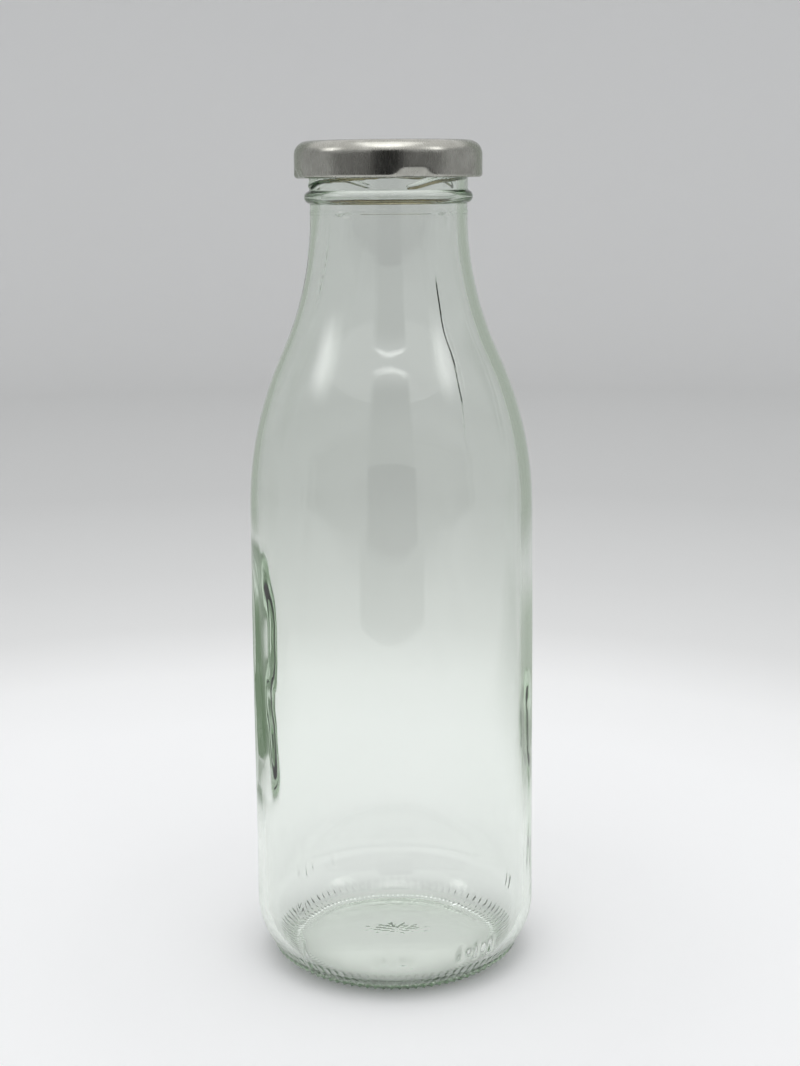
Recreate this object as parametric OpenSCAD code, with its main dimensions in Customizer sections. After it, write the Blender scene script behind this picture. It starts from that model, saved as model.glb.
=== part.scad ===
// Half-litre glass milk bottle with a four-lug twist-off lid.
// Z is up, the origin is the centre of the base, and every size is in millimetres.

/* [Body] */
// Outside diameter just above the heel
body_low_d = 72.4; // [71:0.1:74]
// Outside diameter where the shoulder begins
body_high_d = 71.5; // [70.5:0.1:72.3]
// Thickness of the glass in the wall
wall = 2.5; // [2:0.1:2.9]
// Radius of the heel curve
heel_r = 17.9; // [16.5:0.1:19]
// Height of the centre of the heel curve
heel_z = 15.3; // [14.5:0.1:15.5]
// Radius of the small curve where the heel meets the foot
foot_r = 3; // [2:0.1:4]

/* [Base] */
// Depth of the push-up under the base
push_up = 1.8; // [1:0.1:2.2]
// Radius of the push-up where it meets the foot
push_up_r = 25; // [22:0.5:26]
// Height of the inside floor at its centre
floor_mid = 4.4; // [4:0.1:6]
// Height of the inside floor at its edge
floor_edge = 3; // [2.8:0.1:3.5]
// Radius of the curve where the inside floor meets the inside heel
floor_corner_r = 2; // [1:0.5:3]
// Thickness of the glass in the heel
heel_wall = 2.2; // [2:0.1:2.5]

/* [Shoulder and neck] */
// Height at which the shoulder begins to curve in
shoulder_z = 118.2; // [116:0.1:120]
// Radius of the rounded shoulder
shoulder_r = 93.6; // [90:0.1:98]
// Height at which the shoulder turns into the hollow curve of the neck
turn_z = 157.6; // [156:0.1:159]
// Outside diameter of the neck below the bead
neck_d = 38.6; // [38.2:0.1:38.8]

/* [Finish] */
// Height of the bottle without its lid
bottle_h = 207.8; // [207:0.1:207.8]
// Outside diameter of the finish, which carries the threads
finish_d = 38.9; // [38.8:0.1:39]
// Outside diameter of the transfer bead
bead_d = 41.3; // [40.5:0.1:42]
// Height of the middle of the bead
bead_z = 195.6; // [195.2:0.1:195.8]
// Radius of the bead's round edge
bead_r = 1.6; // [1.4:0.1:2]
// Radius of the rounded lip
lip_r = 1.1; // [0.8:0.1:1.2]

/* [Threads] */
// Number of thread starts, and of lugs on the lid
starts = 4; // [4]
// Rise of the threads in one whole turn
lead = 8.9; // [8.6:0.1:9.2]
// Height of the threads above the finish wall
thread_reach = 1.3; // [1:0.05:1.3]
// Half the thread's thickness at the wall
root_half = 0.7; // [0.5:0.05:0.7]
// Half the thread's thickness at the crest
crest_half = 0.3; // [0.2:0.05:0.35]
// Direction of the first thread's lower end, from +X
thread_start = -76.3; // [-180:0.1:180]
// Angle of the steep stop at the lower end of each thread
stop_angle = 28; // [20:1:34]
// Angle that each thread covers in all
thread_angle = 104; // [90:1:106]
// Height of the middle of the thread at its lower end
stop_z = 197.7; // [197.7:0.05:198]
// Height of the middle of the thread at the top of the stop
run_z = 199.85; // [199.8:0.05:199.9]

/* [Lid] */
// Outside diameter of the lid
lid_d = 45.9; // [45.9:0.1:46.8]
// Height of the top of the lid above the ground
lid_top = 209; // [209:0.05:209.6]
// Height of the lower edge of the lid above the ground
lid_bottom = 200.1; // [200:0.05:200.1]
// Thickness of the lid's sheet
sheet = 0.3; // [0.2:0.05:0.3]
// Radius of the lid's top corner
corner_r = 3.4; // [3:0.1:3.6]
// Radius of the curled lower edge
curl_r = 0.9; // [0.7:0.05:0.9]
// Radius of the sunken panel in the lid's top
panel_r = 14.5; // [12:0.1:14.7]
// Depth of the sunken panel
panel_drop = 0.5; // [0.3:0.05:0.5]

/* [Lugs] */
// Direction of the first lug, from +X
lug_at = -74.5; // [-75:0.1:-74]
// Width of a lug's tip, as an angle
lug_tip_angle = 11; // [8:0.5:12]
// Width of a lug's root, as an angle
lug_root_angle = 26; // [20:1:28]
// Distance from the bottle's axis to a lug's tip
lug_tip_r = 19.85; // [19.8:0.05:20.1]
// Height of a lug's tip
lug_tip_h = 0.46; // [0.3:0.02:0.46]

/* [Sealing ring] */
// Inside diameter of the sealing ring
ring_in_d = 32.6; // [32:0.1:34]
// Outside diameter of the sealing ring
ring_out_d = 39.4; // [38.8:0.1:39.5]
// Gap between the closed ring and the lip
ring_gap = 0.1; // [0.05:0.01:0.2]

/* [Hidden] */

// Gap between two pieces that lie on each other
seat_gap = 0.03;
// How far one solid reaches into the next where they are joined
join = 0.4;

low_r = body_low_d / 2;
high_r = body_high_d / 2;
neck_r = neck_d / 2;
mouth_r = neck_r - wall;
finish_r = finish_d / 2;

// The heel curve ends upright at the body wall, and the foot curve touches it from inside.
heel_x = low_r - heel_r;
foot_x = heel_x + sqrt(pow(heel_r - foot_r, 2) - pow(heel_z - foot_r, 2));
foot_slope = atan2(heel_z - foot_r, foot_x - heel_x);
foot_z = heel_z - heel_r * sin(foot_slope);

// The push-up is a cap of a large sphere.
push_up_sphere = (pow(push_up_r, 2) + pow(push_up, 2)) / (2 * push_up);

// The inside heel has the outside's centre, and the corner curve touches both it and the floor.
inner_heel_r = heel_r - heel_wall;
inner_low_r = low_r - heel_wall;
corner_z = floor_edge + floor_corner_r;
corner_x = heel_x + sqrt(pow(inner_heel_r - floor_corner_r, 2) - pow(heel_z - corner_z, 2));
corner_slope = atan2(heel_z - corner_z, corner_x - heel_x);
corner_end_z = heel_z - inner_heel_r * sin(corner_slope);

// The inside floor is a cap of a large sphere.
floor_rise = floor_mid - floor_edge;
floor_sphere = (pow(corner_x, 2) + pow(floor_rise, 2)) / (2 * floor_rise);

// The shoulder arc and the neck arc share a tangent at turn_z.
shoulder_x = high_r - shoulder_r;
turn_angle = asin((turn_z - shoulder_z) / shoulder_r);
turn_r = shoulder_x + shoulder_r * cos(turn_angle);
sweep_r = (turn_r - neck_r) / (1 - cos(turn_angle));
sweep_x = neck_r + sweep_r;
sweep_z = turn_z + sweep_r * sin(turn_angle);

bead_x = bead_d / 2 - bead_r;
crest_r = finish_r + thread_reach;
thread_step = 4;
fade_angle = 10;

lid_r = lid_d / 2;
curl_x = lid_r - curl_r;
curl_z = lid_bottom + curl_r;
ring_bottom = bottle_h + ring_gap;
ring_top = lid_top - sheet - seat_gap;

// ---------- glass bottle ----------

// Half outline of the outside of the glass, from the ground to the lip.
// Each stretch reaches into the next by the join, where it lies inside it.
module outer_outline() {
    square([foot_x, heel_z + join]);
    translate([foot_x, foot_r]) circle(foot_r, $fn = 64);
    intersection() {
        translate([heel_x, heel_z]) circle(heel_r, $fn = 256);
        translate([foot_x - foot_r, foot_z]) square([heel_r, heel_z + join - foot_z]);
    }
    polygon([[0, heel_z], [low_r, heel_z], [high_r, shoulder_z], [0, shoulder_z]]);
    intersection() {
        translate([shoulder_x, shoulder_z]) circle(shoulder_r, $fn = 720);
        translate([0, shoulder_z - join]) square([high_r, turn_z - shoulder_z + 2 * join]);
    }
    difference() {
        translate([0, turn_z]) square([turn_r, sweep_z - turn_z]);
        translate([sweep_x, sweep_z]) circle(sweep_r, $fn = 720);
    }
    translate([0, sweep_z - join]) square([neck_r, bead_z - sweep_z + join]);
    translate([bead_x, bead_z]) circle(bead_r, $fn = 64);
    translate([0, bead_z - join]) square([finish_r, bottle_h - lip_r - bead_z + join]);
    translate([0, bottle_h - lip_r - join]) square([finish_r - lip_r, lip_r + join]);
    translate([finish_r - lip_r, bottle_h - lip_r]) circle(lip_r, $fn = 64);
}

// Half outline of the space inside the glass, which follows the outside at the wall's thickness
module inner_outline() {
    inner_turn_z = turn_z - wall * sin(turn_angle);
    inner_turn_r = turn_r - wall * cos(turn_angle);
    difference() {
        union() {
            translate([0, floor_edge]) square([corner_x, heel_z - floor_edge + join]);
            translate([corner_x, corner_z]) circle(floor_corner_r, $fn = 64);
            intersection() {
                translate([heel_x, heel_z]) circle(inner_heel_r, $fn = 256);
                translate([corner_x - floor_corner_r, corner_end_z])
                    square([heel_r, heel_z + join - corner_end_z]);
            }
        }
        translate([0, floor_mid - floor_sphere]) circle(floor_sphere, $fn = 720);
    }
    polygon([[0, heel_z], [inner_low_r, heel_z], [high_r - wall, shoulder_z], [0, shoulder_z]]);
    intersection() {
        translate([shoulder_x, shoulder_z]) circle(shoulder_r - wall, $fn = 720);
        translate([0, shoulder_z - join]) square([high_r, inner_turn_z - shoulder_z + 2 * join]);
    }
    difference() {
        translate([0, inner_turn_z]) square([inner_turn_r, sweep_z - inner_turn_z]);
        translate([sweep_x, sweep_z]) circle(sweep_r + wall, $fn = 720);
    }
    translate([0, sweep_z - join]) square([mouth_r, bottle_h + 1 - sweep_z]);
}

// Height of the middle of a thread, at an angle from its lower end
function thread_z(a) = a < stop_angle
    ? stop_z + (run_z - stop_z) * a / stop_angle
    : run_z + lead * (a - stop_angle) / 360;

// Share of its full section that a thread has, at an angle from its lower end
function thread_size(a) = min(1, 0.25 + 0.75 * min(a, thread_angle - a) / fade_angle);

// One section of a thread, as four points that go from the lower root around the crest
function thread_section(a) = let (s = thread_size(a), z = thread_z(a), reach = finish_r + thread_reach * s) [
    [finish_r - join, -root_half * s, a, z],
    [reach, -crest_half * s, a, z],
    [reach, crest_half * s, a, z],
    [finish_r - join, root_half * s, a, z]
];

// Turns a section's point into a place in space
function thread_point(p) = [p[0] * cos(p[2]), p[0] * sin(p[2]), p[3] + p[1]];

// One helical thread with a steep stop at its lower end
module thread() {
    rings = thread_angle / thread_step;
    points = [for (i = [0:rings]) for (p = thread_section(i * thread_step)) thread_point(p)];
    sides = [for (i = [0:rings - 1]) for (k = [0:3]) let (a = 4 * i + k, b = 4 * i + (k + 1) % 4)
        each [[a, b, b + 4], [a, b + 4, a + 4]]];
    last = 4 * rings;
    ends = [[2, 1, 0], [3, 2, 0], [last, last + 1, last + 2], [last, last + 2, last + 3]];
    polyhedron(points, concat(sides, ends));
}

module glass_bottle() {
    color([0.80, 0.88, 0.82, 0.45]) {
        rotate_extrude($fn = 180) difference() {
            outer_outline();
            inner_outline();
            translate([0, push_up - push_up_sphere]) circle(push_up_sphere, $fn = 720);
        }
        for (i = [0:starts - 1]) {
            rotate(thread_start + i * 360 / starts) thread();
        }
    }
}

// ---------- lid ----------

// Half outline of the lid, filled: its curled edge, skirt, round corner, raised ring and sunken panel.
// With an inset it is the outline of the space under the sheet.
module lid_fill(inset, foot) {
    step_r = panel_r + 2 * panel_drop;
    corner_x = lid_r - corner_r;
    corner_z = lid_top - corner_r;
    translate([curl_x, curl_z]) circle(curl_r - inset, $fn = 64);
    translate([foot, curl_z]) square([lid_r - inset - foot, corner_z - curl_z]);
    translate([corner_x, corner_z]) circle(corner_r - inset, $fn = 128);
    polygon([
        [0, corner_z - join],
        [corner_x, corner_z - join],
        [corner_x, lid_top - inset],
        [step_r, lid_top - inset],
        [panel_r, lid_top - panel_drop - inset],
        [0, lid_top - panel_drop - inset]
    ]);
}

// Half outline of the lid's sheet
module lid_outline() {
    difference() {
        lid_fill(0, curl_x);
        lid_fill(sheet, 0);
    }
}

// One lug: the curled edge is pressed inwards to a flat tongue that lies under a thread
module lug() {
    tip_top = lid_bottom + lug_tip_h;
    root_top = lid_bottom + 2 * curl_r;
    slope_top = tip_top + (crest_r - lug_tip_r) / 4;
    rotate(-lug_tip_angle / 2) rotate_extrude(angle = lug_tip_angle, $fn = 180) polygon([
        [lug_tip_r, lid_bottom],
        [curl_x - curl_r / 2, lid_bottom],
        [curl_x - curl_r / 5, lid_bottom + sheet / 2],
        [curl_x, root_top],
        [crest_r, slope_top],
        [lug_tip_r, tip_top]
    ]);
    rotate(-lug_root_angle / 2) rotate_extrude(angle = lug_root_angle, $fn = 180) polygon([
        [curl_x - curl_r, curl_z - join],
        [curl_x, lid_bottom + sheet / 2],
        [lid_r - sheet / 2, curl_z],
        [lid_r - sheet / 2, root_top],
        [curl_x - curl_r, root_top]
    ]);
}

module lid_shell() {
    color([0.70, 0.69, 0.67]) {
        rotate_extrude($fn = 180) lid_outline();
        for (i = [0:starts - 1]) {
            rotate(lug_at + i * 360 / starts) lug();
        }
    }
}

// ---------- sealing ring ----------

// Soft compound ring in the channel under the lid's raised ring
module sealing_ring() {
    color([0.90, 0.89, 0.84]) translate([0, 0, ring_bottom]) difference() {
        cylinder(h = ring_top - ring_bottom, d = ring_out_d, $fn = 180);
        translate([0, 0, -1]) cylinder(h = ring_top - ring_bottom + 2, d = ring_in_d, $fn = 180);
    }
}

glass_bottle();
lid_shell();
sealing_ring();
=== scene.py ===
"""Half-litre glass milk bottle with a four-lug twist-off lid, dressed for its photograph."""

import math

import bpy
import numpy as np
from mathutils import Matrix, Vector


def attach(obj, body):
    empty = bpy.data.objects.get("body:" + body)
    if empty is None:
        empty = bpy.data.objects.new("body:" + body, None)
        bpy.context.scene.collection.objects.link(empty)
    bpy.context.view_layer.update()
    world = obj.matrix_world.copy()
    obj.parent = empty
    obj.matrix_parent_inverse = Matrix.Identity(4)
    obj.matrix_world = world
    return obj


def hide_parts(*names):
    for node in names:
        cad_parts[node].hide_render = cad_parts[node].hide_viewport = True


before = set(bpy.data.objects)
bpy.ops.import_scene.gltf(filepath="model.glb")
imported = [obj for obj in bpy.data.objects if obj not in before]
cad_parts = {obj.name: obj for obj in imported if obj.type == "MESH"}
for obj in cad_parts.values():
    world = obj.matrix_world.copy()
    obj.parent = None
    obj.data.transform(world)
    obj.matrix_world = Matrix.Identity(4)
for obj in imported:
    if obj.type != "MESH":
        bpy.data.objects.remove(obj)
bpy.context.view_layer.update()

MM = 0.001
TURN = 2 * math.pi

# ---------- sizes, in millimetres, the same driving sizes as the CAD part ----------
LOW_R, HIGH_R, WALL = 36.2, 35.75, 2.5
HEEL_R, HEEL_Z, FOOT_R = 17.9, 15.3, 3.0
PUSH_UP, PUSH_UP_R = 1.8, 25.0
FLOOR_MID, FLOOR_EDGE, FLOOR_CORNER_R, HEEL_WALL = 4.4, 3.0, 2.0, 2.2
SHOULDER_Z, SHOULDER_R, TURN_Z, NECK_R = 118.2, 93.6, 157.6, 19.3
BOTTLE_H, FINISH_R, BEAD_REACH_R, BEAD_Z, BEAD_R, LIP_R = 207.8, 19.45, 20.65, 195.6, 1.6, 1.1
STARTS, LEAD, THREAD_REACH, ROOT_HALF = 4, 8.9, 1.3, 0.7
THREAD_START, STOP_ANGLE, THREAD_ANGLE, STOP_Z, RUN_Z = -76.3, 28.0, 104.0, 197.7, 199.85
LID_R, LID_TOP, LID_BOTTOM, SHEET = 22.95, 209.0, 200.1, 0.3
CORNER_R, CURL_R, PANEL_R, PANEL_DROP = 3.4, 0.9, 14.5, 0.5
LUG_AT, LUG_TIP_R, LUG_TIP_H = -74.5, 19.85, 0.46
RING_IN_R, RING_OUT_R, RING_GAP, SEAT_GAP = 16.3, 19.7, 0.1, 0.03

# ---------- sizes of the finer detail, in millimetres and degrees ----------
BASE_PATCH_R, NOTCH_R, INNER_BARS_R, OUTER_BARS_R = 9.0, 27.0, 29.4, 31.4
NOTCH_EVERY, BAR_EVERY = 3, 4
HEEL_MARKS_Z, HEEL_MARKS_H, SEAMS_AT, NECK_LINE_Z = 11.2, 0.5, (-130, 50), 192.0
LEFT_PATCH_AT, LEFT_PATCH_T, RIGHT_PATCH_AT, RIGHT_PATCH_T = -163, 1.4, -8, 0.7
LUG_HALF, LUG_FADE, INSIDE_CURL_ROWS = 4.5, 14.5, 9
GROOVE_R, GROOVE_HALF, GROOVE_DEPTH = 18.1, 0.9, 0.12

# ---------- columns of each mesh, all the way round ----------
GLASS_COLUMNS, LID_COLUMNS, RING_COLUMNS, STUDIO_COLUMNS = 360, 720, 240, 96

# ---------- what follows from them ----------
HEEL_X = LOW_R - HEEL_R
FOOT_X = HEEL_X + math.sqrt((HEEL_R - FOOT_R) ** 2 - (HEEL_Z - FOOT_R) ** 2)
FOOT_SLOPE = math.degrees(math.atan2(HEEL_Z - FOOT_R, FOOT_X - HEEL_X))
PUSH_UP_SPHERE = (PUSH_UP_R ** 2 + PUSH_UP ** 2) / (2 * PUSH_UP)
INNER_HEEL_R, CORNER_Z = HEEL_R - HEEL_WALL, FLOOR_EDGE + FLOOR_CORNER_R
CORNER_X = HEEL_X + math.sqrt((INNER_HEEL_R - FLOOR_CORNER_R) ** 2 - (HEEL_Z - CORNER_Z) ** 2)
CORNER_SLOPE = math.degrees(math.atan2(HEEL_Z - CORNER_Z, CORNER_X - HEEL_X))
FLOOR_RISE = FLOOR_MID - FLOOR_EDGE
FLOOR_SPHERE = (CORNER_X ** 2 + FLOOR_RISE ** 2) / (2 * FLOOR_RISE)
SHOULDER_X = HIGH_R - SHOULDER_R
TURN_ANGLE = math.degrees(math.asin((TURN_Z - SHOULDER_Z) / SHOULDER_R))
TURN_R = SHOULDER_X + SHOULDER_R * math.cos(math.radians(TURN_ANGLE))
SWEEP_R = (TURN_R - NECK_R) / (1 - math.cos(math.radians(TURN_ANGLE)))
SWEEP_X = NECK_R + SWEEP_R
SWEEP_Z = TURN_Z + SWEEP_R * math.sin(math.radians(TURN_ANGLE))
MOUTH_R = NECK_R - WALL
BEAD_X = BEAD_REACH_R - BEAD_R
CURL_X, CURL_Z = LID_R - CURL_R, LID_BOTTOM + CURL_R


# ---------- outlines and meshes ----------
def arc(x, z, radius, start, end, steps):
    """Points on a circle from one angle to another, without the first one."""
    angles = np.radians(np.linspace(start, end, steps + 1))[1:]
    return [(x + radius * math.cos(a), z + radius * math.sin(a)) for a in angles]


def line(points, to, steps):
    """Points from the end of an outline to another point, without the first one."""
    r, z = points[-1]
    shares = np.linspace(0, 1, steps + 1)[1:]
    return [(r + (to[0] - r) * s, z + (to[1] - z) * s) for s in shares]


def smooth(x, low, high):
    """0 below low, 1 above high, and an even slope between them."""
    t = np.clip((x - low) / (high - low), 0, 1)
    return t * t * (3 - 2 * t)


def bump(x, middle, half):
    """A round bump, 1 at the middle and 0 from half its width on."""
    t = np.clip(np.abs(x - middle) / half, 0, 1)
    return (1 - t * t) ** 2


def apart(a, b):
    """Angle from b to a in degrees, from -180 to 180."""
    return (a - b + 180) % 360 - 180


def waves(angle, z, seed, count, turns, rise, size):
    """Smooth random waves round and up a wall: a few sines of seeded phases, about size high."""
    draw = np.random.RandomState(seed)
    total = np.zeros_like(angle)
    for _ in range(count):
        n = draw.randint(turns[0], turns[1] + 1)
        k = draw.uniform(-rise, rise)
        total = total + np.sin(np.radians(n * angle) + k * z + draw.uniform(0, TURN))
    return size * total / math.sqrt(count)


def new_mesh(name, verts, faces, body, node=None, material=None):
    """An object of the part, in metres, smooth shaded, that rides on its body."""
    mesh = bpy.data.meshes.new(name)
    mesh.from_pydata([tuple(v) for v in np.asarray(verts) * MM], [], faces)
    mesh.polygons.foreach_set("use_smooth", [True] * len(mesh.polygons))
    mesh.update()
    obj = bpy.data.objects.new(name, mesh)
    bpy.context.scene.collection.objects.link(obj)
    if material:
        mesh.materials.append(material)
    if body:
        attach(obj, body)
    if node:
        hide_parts(node)
    return obj


def wrap_faces(rows, columns, first=0, closed=False):
    """Quads between rows of a grid that goes all the way round."""
    faces = []
    for i in range(rows if closed else rows - 1):
        k = (i + 1) % rows
        for j in range(columns):
            m = (j + 1) % columns
            faces.append((first + i * columns + j, first + i * columns + m,
                          first + k * columns + m, first + k * columns + j))
    return faces


def turned(radius, height, angles):
    """Points from a grid of radii and heights and the angle of each column, in degrees."""
    a = np.radians(angles)
    return np.stack([radius * np.cos(a), radius * np.sin(a), height], -1).reshape(-1, 3)


def capped(radius, height, angles):
    """Vertices and faces of a turned grid whose first and last rows are points on the axis."""
    rows, columns = radius.shape
    inner = turned(radius[1:-1], height[1:-1], angles[1:-1])
    ends = [(0, 0, height[0].mean()), (0, 0, height[-1].mean())]
    faces = wrap_faces(rows - 2, columns)
    low, high = len(inner), len(inner) + 1
    last = (rows - 3) * columns
    for j in range(columns):
        m = (j + 1) % columns
        faces.append((low, m, j))
        faces.append((last + j, last + m, high))
    return np.vstack([inner, ends]), faces


# ---------- glass ----------
def outer_outline():
    """Outside of the glass from the middle of the base to the top of the lip."""
    rim = math.degrees(math.acos((PUSH_UP_R - 1.5) / PUSH_UP_SPHERE))
    p = [(0.0, PUSH_UP)]
    patch = math.degrees(math.acos(BASE_PATCH_R / PUSH_UP_SPHERE))
    p += arc(0, PUSH_UP - PUSH_UP_SPHERE, PUSH_UP_SPHERE, 90, patch, 15)
    p += arc(0, PUSH_UP - PUSH_UP_SPHERE, PUSH_UP_SPHERE, patch, rim, 6)
    p += [(24.3, 0.08), (25.0, 0.02), (25.8, 0.0), (FOOT_X, 0)]
    p += arc(FOOT_X, FOOT_R, FOOT_R, -90, -FOOT_SLOPE, 6)
    p += arc(HEEL_X, HEEL_Z, HEEL_R, -FOOT_SLOPE, 0, 28)
    p += line(p, (HIGH_R, SHOULDER_Z), 24)
    p += arc(SHOULDER_X, SHOULDER_Z, SHOULDER_R, 0, TURN_ANGLE, 13)
    p += arc(SWEEP_X, SWEEP_Z, SWEEP_R, 180 + TURN_ANGLE, 181.4, 11)
    p += arc(SWEEP_X, SWEEP_Z, SWEEP_R, 181.4, 180, 8)
    low = math.degrees(math.acos((NECK_R - BEAD_X) / BEAD_R))
    high = math.degrees(math.acos((FINISH_R - BEAD_X) / BEAD_R))
    p += line(p, (NECK_R, BEAD_Z - BEAD_R * math.sin(math.radians(low))), 8)
    p += arc(BEAD_X, BEAD_Z, BEAD_R, -low, high, 14)
    p += line(p, (FINISH_R, BOTTLE_H - LIP_R), 44)
    p += arc(FINISH_R - LIP_R, BOTTLE_H - LIP_R, LIP_R, 0, 90, 5)
    return p


def inner_outline():
    """Inside of the glass from the lip to the middle of the floor, after the outside's last point."""
    soft = 0.7
    p = [(MOUTH_R + soft, BOTTLE_H)]
    p += arc(MOUTH_R + soft, BOTTLE_H - soft, soft, 90, 180, 4)
    p += line(p, (MOUTH_R, SWEEP_Z), 5)
    p += arc(SWEEP_X, SWEEP_Z, SWEEP_R + WALL, 180, 180 + TURN_ANGLE, 14)
    p += arc(SHOULDER_X, SHOULDER_Z, SHOULDER_R - WALL, TURN_ANGLE, 0, 13)
    p += line(p, (LOW_R - HEEL_WALL, HEEL_Z), 24)
    p += arc(HEEL_X, HEEL_Z, INNER_HEEL_R, 0, -CORNER_SLOPE, 12)
    p += arc(CORNER_X, CORNER_Z, FLOOR_CORNER_R, -CORNER_SLOPE, -90, 6)
    edge = math.degrees(math.acos(CORNER_X / FLOOR_SPHERE))
    p += arc(0, FLOOR_MID - FLOOR_SPHERE, FLOOR_SPHERE, edge, 90, 12)
    return p


def outward(outline):
    """Unit normals of an outline, on its right as it runs."""
    p = np.array(outline)
    d = np.gradient(p, axis=0)
    n = np.stack([d[:, 1], -d[:, 0]], -1)
    return n / np.linalg.norm(n, axis=1)[:, None]


def thread_rise(angle, z):
    """Height of the threads over the finish wall."""
    total = np.zeros_like(angle)
    for i in range(STARTS):
        a = (angle - THREAD_START - 360 / STARTS * i) % 360
        middle = np.where(a < STOP_ANGLE,
                          STOP_Z + (RUN_Z - STOP_Z) * smooth(a, -6, STOP_ANGLE),
                          RUN_Z + LEAD * (a - STOP_ANGLE) / 360)
        fade = smooth(a, -2, 9) * (1 - smooth(a, THREAD_ANGLE - 16, THREAD_ANGLE - 1))
        half = ROOT_HALF * (0.55 + 0.45 * fade)
        t = np.clip(np.abs(z - middle) / half, 0, 1)
        section = np.clip((1 - t) / 0.5, 0, 1)
        section = section * section * (3 - 2 * section)
        total = np.maximum(total, THREAD_REACH * 0.97 * section * fade)
    return total


def base_marks(angle, r, z):
    """Rings of notches and grip bars on the foot, and a rough patch in the middle of the base."""
    tooth = (np.round(angle) % BAR_EVERY == 0) * 1.0
    bars = np.maximum(0.5 * bump(r, INNER_BARS_R, 1.0), 0.62 * bump(r, OUTER_BARS_R, 1.2)) * tooth
    bars = bars - 0.4 * bump(r, NOTCH_R, 1.8) * (np.round(angle) % NOTCH_EVERY == 0)
    x, y = r * np.cos(np.radians(angle)), r * np.sin(np.radians(angle))
    ragged = 0.25 * np.sin(2.1 * x + 1.0) + 0.2 * np.sin(3.7 * x - 2.3 * y)
    patch = (1 - smooth(np.hypot(x / 6.8, (y - 1) / 3.2) + ragged, 0.5, 1.0)) * (r < BASE_PATCH_R)
    rough = np.sin(1.3 * x + 4.1 * y) + 0.6 * np.sin(5.3 * y - 0.9 * x) + 0.5 * np.sin(2.7 * x - 1.7)
    return (bars - patch * (0.14 + 0.06 * rough)) * (z < 8)


def heel_marks(angle, z):
    """Short rows of plain pips and bars raised on the heel."""
    groups = ((-98, 1.0, 2.0), (-94.5, 1.0, 0.9), (-91, 1.0, 2.0), (-87, 1.8, 0.9), (-83.5, 1.0, 2.0),
              (-63, 1.0, 2.0), (-59, 1.6, 0.9), (-55.5, 1.0, 2.0), (-51.5, 1.0, 0.9), (-48, 1.0, 2.0),
              (98, 0.9, 0.9), (94, 0.9, 0.9), (90, 0.9, 0.9), (86, 0.9, 0.9), (120, 1.2, 1.4),
              (138, 1.0, 1.9), (133, 1.0, 1.0), (27, 1.2, 1.8), (23, 1.0, 1.8))
    total = np.zeros_like(angle)
    for at, width, height in groups:
        across = 1 - smooth(np.abs(apart(angle, at)), 0.45 * width, 1.45 * width)
        total = total + across * (1 - smooth(np.abs(z - HEEL_MARKS_Z), height - 0.4, height + 0.5))
    return HEEL_MARKS_H * total


def seam(angle, z):
    """Two mould seams up the heel, which the fire polish has melted away higher up."""
    off = np.minimum(np.abs(apart(angle, SEAMS_AT[0])), np.abs(apart(angle, SEAMS_AT[1])))
    return 0.14 * np.clip(1 - off / 1.3, 0, 1) * (1 - smooth(z, 20, 55))


def neck_marks(angle, z):
    """The line where the neck ring met the body mould, with wrinkles in the glass beside it."""
    line_up = 0.10 * bump(z, NECK_LINE_Z, 0.45)
    wrinkle = 0
    for at, width, turns in ((-121, 13, 31), (-46, 14, 37), (60, 16, 29), (140, 12, 41)):
        curl = (np.sin(np.radians(turns * angle) + 2.1 * z)
                + np.sin(np.radians(0.6 * turns * angle) - 3.3 * z))
        wrinkle = wrinkle + 0.11 * curl * bump(apart(angle, at), 0, width) * bump(z, 191.4, 1.8)
    return line_up + wrinkle


def cords(angle, z):
    """Cords and folds in the inside of the glass, as angle, drift, lowest, highest, width and height."""
    runs = ((-53.3, 0.7, 134, 180, 1.7, 0.34), (-144, 7, 170, 192, 2.5, 0.10),
            (-111, 9, 168, 192, 2.2, 0.11), (-65, -9, 168, 192, 2.2, 0.11),
            (-128, 4, 95, 140, 4.0, 0.10), (-66, -9, 96, 136, 4.0, 0.10),
            (70, 5, 60, 150, 5.0, 0.12), (150, -6, 70, 165, 4.0, 0.10), (20, 4, 90, 180, 4.0, 0.10))
    total = np.zeros_like(angle)
    for at, drift, low, high, width, height in runs:
        share = (z - low) / (high - low)
        middle = at + drift * (share - 0.5) + 0.9 * np.sin(z / 4.3 + at) + 0.5 * np.sin(z / 1.9 + 2 * at)
        ends = smooth(share, 0, 0.15) * (1 - smooth(share, 0.85, 1))
        total = total + height * ends * bump(apart(angle, middle), 0, width)
    return total


def thick_patches(angle, z):
    """Places where the glass ran thicker on the inside."""
    wavy = 2.2 * np.sin(z / 5.1) + 1.3 * np.sin(z / 2.3 + 1)
    left = 1 - smooth(np.abs(apart(angle, LEFT_PATCH_AT) + wavy), 8, 17)
    left = left * smooth(z, 46, 56) * (1 - smooth(z, 92, 112))
    right = 1 - smooth(np.abs(apart(angle, RIGHT_PATCH_AT) + wavy), 5, 10)
    right = right * smooth(z, 50, 58) * (1 - smooth(z, 66, 76))
    return LEFT_PATCH_T * left + RIGHT_PATCH_T * right


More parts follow.
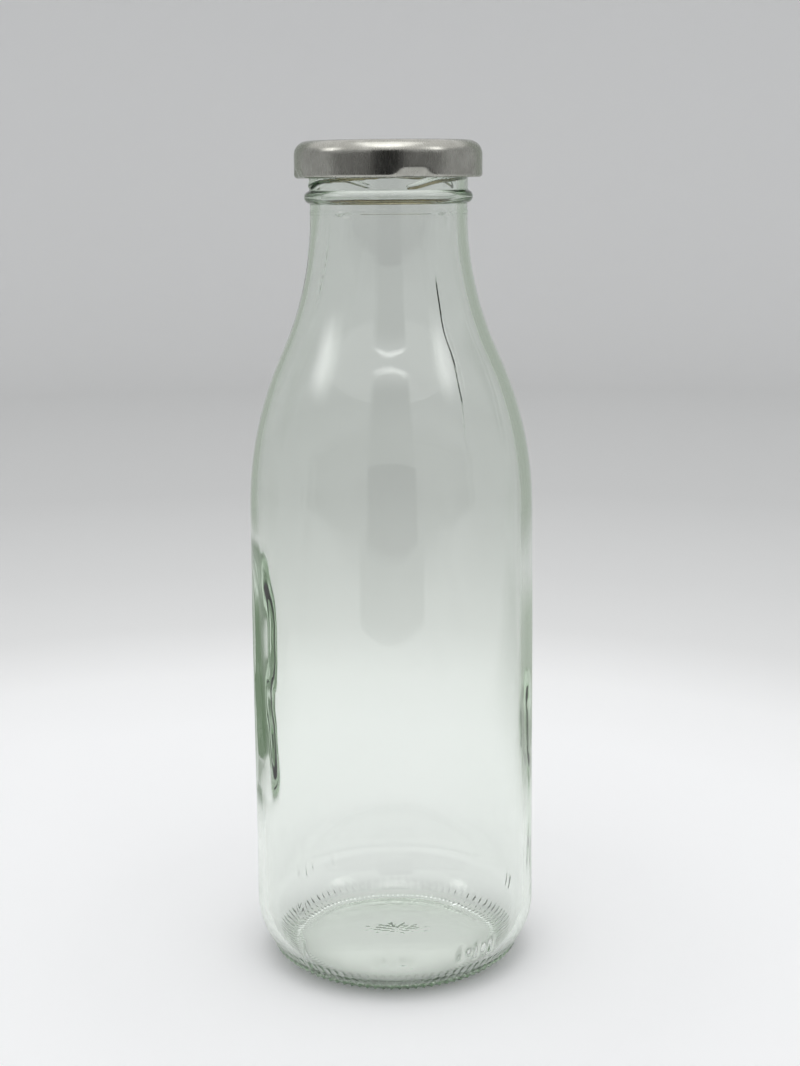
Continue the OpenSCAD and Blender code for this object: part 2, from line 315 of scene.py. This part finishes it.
def glass_bottle_piece(material):
    """The hollow glass, with its threads, marks and uneven walls as real shape."""
    columns = GLASS_COLUMNS
    outer, inner = outer_outline(), inner_outline()
    outline = np.array(outer + inner)
    normal = outward(outline)
    angle = np.tile(np.arange(columns) * 360 / columns, (len(outline), 1))
    r = np.repeat(outline[:, :1], columns, 1)
    z = np.repeat(outline[:, 1:], columns, 1)
    is_outer = np.zeros_like(angle)
    is_outer[:len(outer)] = 1
    is_inner = 1 - is_outer
    body = smooth(z, 14, 34) * (1 - smooth(z, 184, 192))
    finish = (z > BEAD_Z) * (z < BOTTLE_H - LIP_R)
    out = is_outer * finish * thread_rise(angle, z)
    out = out + is_outer * (base_marks(angle, r, z) + heel_marks(angle, z) + neck_marks(angle, z))
    out = out + is_outer * np.where(r > 24, seam(angle, z), 0)
    out = out + is_outer * body * (waves(angle, z, 3, 8, (2, 8), 0.05, 0.04) - 0.06)
    flow = waves(angle, z, 11, 8, (2, 5), 0.02, 0.12) + waves(angle, z, 5, 7, (7, 16), 0.012, 0.03)
    out = out + is_inner * body * (flow + cords(angle, z) + thick_patches(angle, z))
    out[0] = out[-1] = 0
    r2 = np.minimum(r + out * normal[:, :1], LOW_R - 0.005)
    z2 = np.maximum(z + out * normal[:, 1:], 0)
    verts, faces = capped(r2, z2, angle)
    return new_mesh("glass_bottle_shell", verts, faces, "bottle", "glass_bottle", material)


# ---------- lid ----------
def lid_rows():
    """The lid's outline from its inside round to its top, plain and with a lug, and its rows inside."""
    step_r = PANEL_R + 2 * PANEL_DROP
    cx, cz = LID_R - CORNER_R, LID_TOP - CORNER_R
    rise = LID_TOP - PANEL_DROP - SHEET
    top = [(0.0, rise), (6.0, rise), (11.0, rise), (PANEL_R - 0.3, rise), (PANEL_R + 0.1, rise + 0.06)]
    top += [(step_r - 0.3, LID_TOP - SHEET - 0.05), (step_r, LID_TOP - SHEET), (cx, LID_TOP - SHEET)]
    top += arc(cx, cz, CORNER_R - SHEET, 90, 0, 12)
    top += [(LID_R - SHEET, 204.6), (LID_R - SHEET, 203.6)]
    inner_r = LID_R - SHEET
    curl = [(inner_r, 202.9), (inner_r, 202.3), (inner_r - 0.03, 201.85)]
    curl += arc(CURL_X, CURL_Z, CURL_R, 62, 360, 27)
    curl += [(LID_R, CURL_Z + 0.4), (LID_R, 201.9), (LID_R, 202.4), (LID_R, 203.0)]
    foot, tip = LID_BOTTOM + 0.02, LUG_TIP_R + 0.02
    path = [(inner_r, 202.95), (inner_r - 0.15, 202.3), (inner_r - 0.5, 201.55), (21.6, 201.05),
            (21.0, 200.82), (20.6, 200.62), (20.1, LID_BOTTOM + LUG_TIP_H - 0.02),
            (tip + 0.06, LID_BOTTOM + LUG_TIP_H - 0.08), (tip, LID_BOTTOM + 0.28),
            (tip + 0.06, foot + 0.06), (20.2, foot), (21.0, foot), (21.6, foot + 0.08),
            (22.0, foot + 0.3), (22.2, foot + 0.62), (22.38, foot + 1.05), (22.6, foot + 1.6),
            (22.8, foot + 2.05), (LID_R - 0.02, foot + 2.4), (LID_R, 202.75), (LID_R, 203.0)]
    dense = np.array(path)
    length = np.concatenate([[0], np.cumsum(np.linalg.norm(np.diff(dense, axis=0), axis=1))])
    at = np.linspace(0, length[-1], len(curl))
    lug = list(zip(np.interp(at, length, dense[:, 0]), np.interp(at, length, dense[:, 1])))
    side = [(LID_R, 203.7), (LID_R, 204.6), (LID_R, cz)]
    side += arc(cx, cz, CORNER_R, 0, 90, 16)
    side += [(step_r + 0.5, LID_TOP), (step_r + 0.1, LID_TOP - 0.02), (step_r - 0.2, LID_TOP - 0.12)]
    side += [(PANEL_R + 0.25, LID_TOP - PANEL_DROP + 0.1), (PANEL_R - 0.05, LID_TOP - PANEL_DROP + 0.01)]
    side += [(PANEL_R - 0.5, LID_TOP - PANEL_DROP), (9.0, LID_TOP - PANEL_DROP), (0.0, LID_TOP - PANEL_DROP)]
    plain = np.array(top + curl + side)
    pressed = np.array(top + lug + side)
    return plain, pressed, len(top) + INSIDE_CURL_ROWS


def lid_piece(material):
    """The tinplate sheet, with pressed lugs. Its inside rows are marked for the gold lacquer."""
    columns = LID_COLUMNS
    plain, pressed, inside = lid_rows()
    angle = np.tile(np.arange(columns) * 360 / columns, (len(plain), 1))
    off = np.full(columns, 360.0)
    for i in range(STARTS):
        near = np.abs(apart(angle[0], LUG_AT + 360 / STARTS * i))
        off = np.minimum(off, near)
    share = 1 - smooth(off, LUG_HALF, LUG_FADE)
    r = plain[:, :1] * (1 - share) + pressed[:, :1] * share
    z = plain[:, 1:] * (1 - share) + pressed[:, 1:] * share
    verts, faces = capped(r, z, angle)
    obj = new_mesh("lid_tinplate_shell", verts, faces, "lid", "lid_shell", material)
    lacquered = np.zeros(len(plain))
    lacquered[:inside] = 1
    inner = np.concatenate([np.repeat(lacquered[1:-1], columns), [1, 0]])
    obj.data.attributes.new("lacquer", "FLOAT", "POINT").data.foreach_set("value", inner)
    return obj


# ---------- sealing ring ----------
def ring_piece(material):
    """The ring of compound in the lid, with the groove that the lip presses into it."""
    low, high = BOTTLE_H + RING_GAP, LID_TOP - SHEET - SEAT_GAP
    soft = 0.25
    p = [(RING_IN_R + soft, low)]
    p += line(p, (RING_OUT_R - soft, low), 16)
    p += arc(RING_OUT_R - soft, low + soft, soft, -90, 0, 5)
    p += arc(RING_OUT_R - soft, high - soft, soft, 0, 90, 6)
    p += line(p, (RING_IN_R + soft, high), 8)
    p += arc(RING_IN_R + soft, high - soft, soft, 90, 180, 5)
    p += arc(RING_IN_R + soft, low + soft, soft, 180, 270, 5)
    outline = np.array(p)
    columns = RING_COLUMNS
    angle = np.tile(np.arange(columns) * 360 / columns, (len(p), 1))
    r = np.repeat(outline[:, :1], columns, 1)
    z = np.repeat(outline[:, 1:], columns, 1)
    groove = bump(r, GROOVE_R, GROOVE_HALF) * (z < low + 0.05)
    z = z + groove * (GROOVE_DEPTH + waves(angle, z, 21, 5, (3, 12), 0.0, 0.02))
    verts = turned(r, z, angle)
    faces = wrap_faces(len(p), columns, closed=True)
    return new_mesh("sealing_compound_ring", verts, faces, "seal", "sealing_ring", material)


# ---------- materials ----------
GLASS_IOR, GLASS_ABSORBS, GLASS_DENSITY = 1.52, (0.22, 0.58, 0.15, 1), 20.0
SILVER_DARK, SILVER_LIGHT = (0.36, 0.357, 0.325), (0.46, 0.456, 0.42)
GOLD_DARK, GOLD_LIGHT = (0.52, 0.43, 0.26), (0.62, 0.53, 0.34)
COMPOUND_DARK, COMPOUND_LIGHT = (0.72, 0.70, 0.63), (0.84, 0.83, 0.78)


def new_material(name):
    """A node material, its tree, its main shader and its output."""
    material = bpy.data.materials.new(name)
    material.use_nodes = True
    tree = material.node_tree
    return material, tree, tree.nodes["Principled BSDF"], tree.nodes["Material Output"]


def add(tree, kind, **values):
    """A new node. A value goes to the input of that name, or else to the node's own setting."""
    node = tree.nodes.new(kind)
    for key, value in values.items():
        if key in node.inputs:
            node.inputs[key].default_value = value
        else:
            setattr(node, key, value)
    return node


def scaled_coords(tree, scale):
    """The object's own coordinates, scaled for a noise."""
    coords = add(tree, "ShaderNodeTexCoord")
    mapping = add(tree, "ShaderNodeMapping")
    mapping.inputs["Scale"].default_value = scale
    tree.links.new(coords.outputs["Object"], mapping.inputs["Vector"])
    return mapping.outputs["Vector"]


def ramp(tree, source, stops):
    """A colour ramp over a value, from pairs of place and colour."""
    node = add(tree, "ShaderNodeValToRGB")
    elements = node.color_ramp.elements
    while len(elements) < len(stops):
        elements.new(0.5)
    for element, (place, colour) in zip(elements, stops):
        element.position = place
        element.color = (*colour, 1)
    tree.links.new(source, node.inputs["Fac"])
    return node.outputs["Color"]


def glass_material():
    """Clear glass with a faint ripple, green only through its depth."""
    material, tree, shader, output = new_material("glass")
    shader.inputs["Base Color"].default_value = (0.985, 0.99, 0.985, 1)
    shader.inputs["Roughness"].default_value = 0.0
    shader.inputs["IOR"].default_value = GLASS_IOR
    shader.inputs["Transmission Weight"].default_value = 1.0
    fine = add(tree, "ShaderNodeTexNoise", Scale=1.0, Detail=3.0, Roughness=0.5)
    tree.links.new(scaled_coords(tree, (90, 90, 30)), fine.inputs["Vector"])
    relief = add(tree, "ShaderNodeBump", Strength=0.05, Distance=0.001)
    tree.links.new(fine.outputs["Fac"], relief.inputs["Height"])
    tree.links.new(relief.outputs["Normal"], shader.inputs["Normal"])
    tint = add(tree, "ShaderNodeVolumeAbsorption", Color=GLASS_ABSORBS, Density=GLASS_DENSITY)
    tree.links.new(tint.outputs["Volume"], output.inputs["Volume"])
    return material


def tin_material():
    """Brushed silvery tinplate with uneven colour, lacquered gold on the inside."""
    material, tree, shader, _ = new_material("lid_tinplate")
    shader.inputs["Metallic"].default_value = 1.0
    grain = add(tree, "ShaderNodeTexNoise", Scale=1.0, Detail=5.0, Roughness=0.6)
    tree.links.new(scaled_coords(tree, (2600, 2600, 260)), grain.inputs["Vector"])
    blotch = add(tree, "ShaderNodeTexNoise", Scale=1.0, Detail=4.0, Roughness=0.55)
    tree.links.new(scaled_coords(tree, (320, 320, 320)), blotch.inputs["Vector"])
    colour = ramp(tree, blotch.outputs["Fac"], [(0.3, SILVER_DARK), (0.7, SILVER_LIGHT)])
    gold = ramp(tree, blotch.outputs["Fac"], [(0.3, GOLD_DARK), (0.7, GOLD_LIGHT)])
    inside = add(tree, "ShaderNodeAttribute", attribute_name="lacquer")
    both = add(tree, "ShaderNodeMixRGB")
    tree.links.new(inside.outputs["Fac"], both.inputs["Fac"])
    tree.links.new(colour, both.inputs["Color1"])
    tree.links.new(gold, both.inputs["Color2"])
    tree.links.new(both.outputs["Color"], shader.inputs["Base Color"])
    rough = add(tree, "ShaderNodeMapRange")
    rough.inputs["To Min"].default_value = 0.18
    rough.inputs["To Max"].default_value = 0.34
    tree.links.new(grain.outputs["Fac"], rough.inputs["Value"])
    tree.links.new(rough.outputs["Result"], shader.inputs["Roughness"])
    relief = add(tree, "ShaderNodeBump", Strength=0.16, Distance=0.0001)
    tree.links.new(grain.outputs["Fac"], relief.inputs["Height"])
    tree.links.new(relief.outputs["Normal"], shader.inputs["Normal"])
    return material


def compound_material():
    """Pale, mottled sealing compound."""
    material, tree, shader, _ = new_material("seal_compound")
    spots = add(tree, "ShaderNodeTexNoise", Scale=1.0, Detail=4.0)
    tree.links.new(scaled_coords(tree, (700, 700, 700)), spots.inputs["Vector"])
    colour = ramp(tree, spots.outputs["Fac"], [(0.35, COMPOUND_DARK), (0.65, COMPOUND_LIGHT)])
    tree.links.new(colour, shader.inputs["Base Color"])
    shader.inputs["Roughness"].default_value = 0.45
    relief = add(tree, "ShaderNodeBump", Strength=0.3, Distance=0.0001)
    tree.links.new(spots.outputs["Fac"], relief.inputs["Height"])
    tree.links.new(relief.outputs["Normal"], shader.inputs["Normal"])
    return material


# ---------- studio, in metres ----------
FLOOR_R, WALL_R, WALL_TOP = 1.3, 0.6, 1.25
AIM_Z, CARD_LIFT = 0.12, 0.002
WHITE, PALE_GREEN, GREEN = (1, 1, 1), (0.92, 1, 0.90), (0.72, 1, 0.66)
CAMERA_AT, CAMERA_LENS, CAMERA_PITCH, CAMERA_ROLL = (0.0021, -0.4295, 0.1999), 58.2, 11.62, 0.5
LIGHT_BOUNCES, DIFFUSE_BOUNCES = 40, 6
# The floor's colour, by half the distance from a point just left of the bottle. It is painted shade: near
# white close to the bottle, darker grey farther out where the light falls off, and a little lighter again up
# the wall.
FLOOR_PAINTED_SHADE = ((0.095, (0.92, 0.925, 0.935)), (0.13, (0.88, 0.885, 0.89)), (0.17, (0.745, 0.75, 0.75)),
                 (0.225, (0.68, 0.685, 0.685)), (0.34, (0.60, 0.605, 0.605)),
                 (0.62, (0.585, 0.59, 0.59)), (0.95, (0.70, 0.705, 0.71)))
# Painted light on the floor, by distance from a point just behind the middle of the base: a glow that stands
# in for light coming through the glass and lightens the contact shadow, and is left out at the front of the
# foot so that the contact stays dark there.
FLOOR_PAINTED_LIGHT = ((0.0225, 0.46), (0.0262, 0.28), (0.0298, 0.24), (0.0312, 0.02), (0.0365, 0.03),
              (0.045, 0.07), (0.08, 0.02), (0.30, 0.0))


def backdrop_material():
    """Near white out to 0.2 m, grey from about 0.35 m on as painted shade of the light falling off, and
    painted light glowing under and round the base.
    """
    material, tree, shader, _ = new_material("backdrop")
    coords = add(tree, "ShaderNodeTexCoord")
    shift = add(tree, "ShaderNodeVectorMath", operation="ADD")
    shift.inputs[1].default_value = (0.03, 0, 0)
    flat = add(tree, "ShaderNodeVectorMath", operation="MULTIPLY")
    flat.inputs[1].default_value = (0.5, 0.5, 0)
    size = add(tree, "ShaderNodeVectorMath", operation="LENGTH")
    tree.links.new(coords.outputs["Object"], shift.inputs[0])
    tree.links.new(shift.outputs["Vector"], flat.inputs[0])
    tree.links.new(flat.outputs["Vector"], size.inputs[0])
    # painted shade: the floor's colour darkens away from the bottle in place of the light falling off
    tree.links.new(ramp(tree, size.outputs["Value"], FLOOR_PAINTED_SHADE), shader.inputs["Base Color"])
    shader.inputs["Roughness"].default_value = 1.0
    shader.inputs["Specular IOR Level"].default_value = 0.0
    # painted light: the floor glows under and round the base, in place of light coming through the glass
    back = add(tree, "ShaderNodeVectorMath", operation="ADD")
    back.inputs[1].default_value = (0, -0.0035, 0)
    tree.links.new(coords.outputs["Object"], back.inputs[0])
    under = add(tree, "ShaderNodeVectorMath", operation="LENGTH")
    tree.links.new(back.outputs["Vector"], under.inputs[0])
    stops = [(place, (value, value, value)) for place, value in FLOOR_PAINTED_LIGHT]
    shader.inputs["Emission Color"].default_value = (1, 1, 1, 1)
    tree.links.new(ramp(tree, under.outputs["Value"], stops), shader.inputs["Emission Strength"])
    return material


def backdrop():
    """One round bowl: a flat floor that curves up into a wall."""
    p = [(0.02, 0.0)]
    p += line(p, (FLOOR_R, 0), 12)
    p += arc(FLOOR_R, WALL_R, WALL_R, -90, 0, 16)
    p += line(p, (FLOOR_R + WALL_R, WALL_TOP), 4)
    outline = np.array(p)
    columns = STUDIO_COLUMNS
    angle = np.tile(np.arange(columns) * 360 / columns, (len(p), 1))
    r = np.repeat(outline[:, :1], columns, 1)
    z = np.repeat(outline[:, 1:], columns, 1)
    verts = turned(r, z, angle) / MM
    faces = wrap_faces(len(p), columns)
    faces.append(tuple(reversed(range(columns))))
    faces = [tuple(reversed(face)) for face in faces]
    new_mesh("backdrop", verts, faces, None, material=backdrop_material())


def face_bottle(obj, azimuth, elevation, distance):
    """Puts a light or card round the bottle's middle, with its back away from the bottle."""
    a, e = math.radians(azimuth), math.radians(elevation)
    aim = Vector((0, 0, AIM_Z))
    place = Vector((math.sin(a) * math.cos(e), -math.cos(a) * math.cos(e), math.sin(e)))
    obj.location = aim + place * distance
    obj.rotation_mode = "QUATERNION"
    obj.rotation_quaternion = place.to_track_quat("Z", "Y")
    bpy.context.scene.collection.objects.link(obj)


def soft_box(name, azimuth, elevation, distance, size, power):
    """A rectangular area light that faces the bottle. Azimuth is from the camera's side, towards +X."""
    light = bpy.data.lights.new(name, "AREA")
    light.shape = "RECTANGLE"
    light.size, light.size_y = size
    light.energy = power
    obj = bpy.data.objects.new(name, light)
    face_bottle(obj, azimuth, elevation, distance)
    obj.visible_camera = False
    return obj


def card_material(name, radiance, soft, colour):
    """A plain glow that fades out towards the card's edges.

    It shows only to light that a surface has reflected. What goes straight through the glass
    passes the card, which would otherwise stand behind the bottle in the views from the back.
    """
    material, tree, shader, output = new_material(name)
    tree.nodes.remove(shader)
    coords = add(tree, "ShaderNodeTexCoord")
    parts = add(tree, "ShaderNodeSeparateXYZ")
    tree.links.new(coords.outputs["Generated"], parts.inputs["Vector"])
    fades = []
    for axis, edge in zip(("X", "Y"), soft):
        off = add(tree, "ShaderNodeMath", operation="SUBTRACT")
        off.inputs[1].default_value = 0.5
        tree.links.new(parts.outputs[axis], off.inputs[0])
        size = add(tree, "ShaderNodeMath", operation="ABSOLUTE")
        tree.links.new(off.outputs["Value"], size.inputs[0])
        fade = add(tree, "ShaderNodeMapRange", interpolation_type="SMOOTHSTEP")
        fade.inputs["From Min"].default_value = 0.5
        fade.inputs["From Max"].default_value = 0.5 - edge
        tree.links.new(size.outputs["Value"], fade.inputs["Value"])
        fades.append(fade)
    both = add(tree, "ShaderNodeMath", operation="MULTIPLY")
    tree.links.new(fades[0].outputs["Result"], both.inputs[0])
    tree.links.new(fades[1].outputs["Result"], both.inputs[1])
    path = add(tree, "ShaderNodeLightPath")
    mirrored = add(tree, "ShaderNodeMath", operation="GREATER_THAN")
    mirrored.inputs[1].default_value = 0.5
    tree.links.new(path.outputs["Glossy Depth"], mirrored.inputs[0])
    shown = add(tree, "ShaderNodeMath", operation="MULTIPLY")
    tree.links.new(both.outputs["Value"], shown.inputs[0])
    tree.links.new(mirrored.outputs["Value"], shown.inputs[1])
    glow = add(tree, "ShaderNodeEmission")
    glow.inputs["Strength"].default_value = radiance
    glow.inputs["Color"].default_value = (*colour, 1)
    clear = add(tree, "ShaderNodeBsdfTransparent")
    mix = add(tree, "ShaderNodeMixShader")
    tree.links.new(shown.outputs["Value"], mix.inputs["Fac"])
    tree.links.new(clear.outputs["BSDF"], mix.inputs[1])
    tree.links.new(glow.outputs["Emission"], mix.inputs[2])
    tree.links.new(mix.outputs["Shader"], output.inputs["Surface"])
    return material


def card_plane(name, size, radiance, soft, colour):
    """A card that only shows in reflections, those inside the glass too."""
    w, h = size[0] / 2, size[1] / 2
    mesh = bpy.data.meshes.new(name)
    mesh.from_pydata([(-w, -h, 0), (w, -h, 0), (w, h, 0), (-w, h, 0)], [], [(0, 1, 2, 3)])
    mesh.materials.append(card_material(name, radiance, soft, colour))
    obj = bpy.data.objects.new(name, mesh)
    obj.visible_camera = obj.visible_diffuse = obj.visible_shadow = False
    return obj


def card(name, azimuth, elevation, distance, size, radiance, soft=(0.3, 0.3), colour=WHITE):
    """A card that faces the bottle. Azimuth is from the camera's side, towards +X."""
    face_bottle(card_plane(name, size, radiance, soft, colour), azimuth, elevation, distance)


def floor_card(name, x, y, size, radiance, soft, colour):
    """A card that lies just over the floor, with its length on the line to the bottle."""
    obj = card_plane(name, size, radiance, soft, colour)
    obj.location = (x, y, CARD_LIFT)
    obj.rotation_euler = (0, 0, math.atan2(y, x) - math.pi / 2)
    bpy.context.scene.collection.objects.link(obj)


def lights():
    """An even surround, one soft light, and the cards that the glass and lid reflect."""
    world = bpy.data.worlds.new("studio")
    world.use_nodes = True
    world.node_tree.nodes["Background"].inputs["Color"].default_value = (1.0, 1.0, 1.0, 1)
    world.node_tree.nodes["Background"].inputs["Strength"].default_value = 1.0
    bpy.context.scene.world = world
    soft_box("overhead", 0, 80, 1.0, (0.7, 0.7), 2)
    card("left_glow", -80, 34, 1.0, (0.45, 0.45), 3.4, (0.4, 0.4))
    card("right_glow", 66, 37, 1.0, (0.40, 0.45), 3.4, (0.4, 0.4))
    card("strip", 0, 42.0, 0.50, (0.30, 0.012), 4.0, (0.2, 0.4))
    card("overhead_glow", 0, 64, 0.9, (0.50, 0.42), 3.6)
    card("room_low", 0, -6.1, 0.42, (2.4, 0.16), 0.06, (0.04, 0.35))
    card("room_high", 0, 11.8, 0.44, (2.4, 0.30), 0.24, (0.04, 0.30))
    card("dark_column", 0, 6, 0.40, (0.27, 0.60), 0.02, (0.05, 0.12))
    card("dark_foot", 0, -13, 0.40, (0.37, 0.07), 0.02, (0.05, 0.12))
    card("left_corner", -145, 14.7, 0.42, (0.40, 0.46), 0.42, (0.45, 0.08), PALE_GREEN)
    card("right_corner", 145, 14.7, 0.42, (0.40, 0.46), 0.42, (0.45, 0.08), PALE_GREEN)
    floor_card("left_floor", -0.14, 0.24, (0.30, 0.40), 0.20, (0.25, 0.30), GREEN)
    floor_card("right_floor", 0.14, 0.24, (0.30, 0.40), 0.48, (0.25, 0.30), PALE_GREEN)


def camera():
    """The photograph's view: 58 mm with 36 mm along the picture's height, 0.2 m up, tilted down."""
    data = bpy.data.cameras.new("camera")
    data.lens = CAMERA_LENS
    data.clip_end = 20
    obj = bpy.data.objects.new("camera", data)
    pitch, roll = math.radians(CAMERA_PITCH), math.radians(CAMERA_ROLL)
    ahead = Vector((0, math.cos(pitch), -math.sin(pitch)))
    up = Vector((0, math.sin(pitch), math.cos(pitch))) * math.cos(roll) + Vector((1, 0, 0)) * math.sin(roll)
    right = ahead.cross(up)
    turn = Matrix((right, up, -ahead)).transposed().to_4x4()
    obj.matrix_world = Matrix.Translation(CAMERA_AT) @ turn
    bpy.context.scene.collection.objects.link(obj)
    bpy.context.scene.camera = obj


bpy.context.scene.view_settings.view_transform = "Standard"
camera()
lights()
backdrop()
glass_bottle_piece(glass_material())
lid_piece(tin_material())
ring_piece(compound_material())

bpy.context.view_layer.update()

light_paths = bpy.context.scene.cycles
light_paths.max_bounces = light_paths.transmission_bounces = light_paths.glossy_bounces = LIGHT_BOUNCES
light_paths.diffuse_bounces = DIFFUSE_BOUNCES
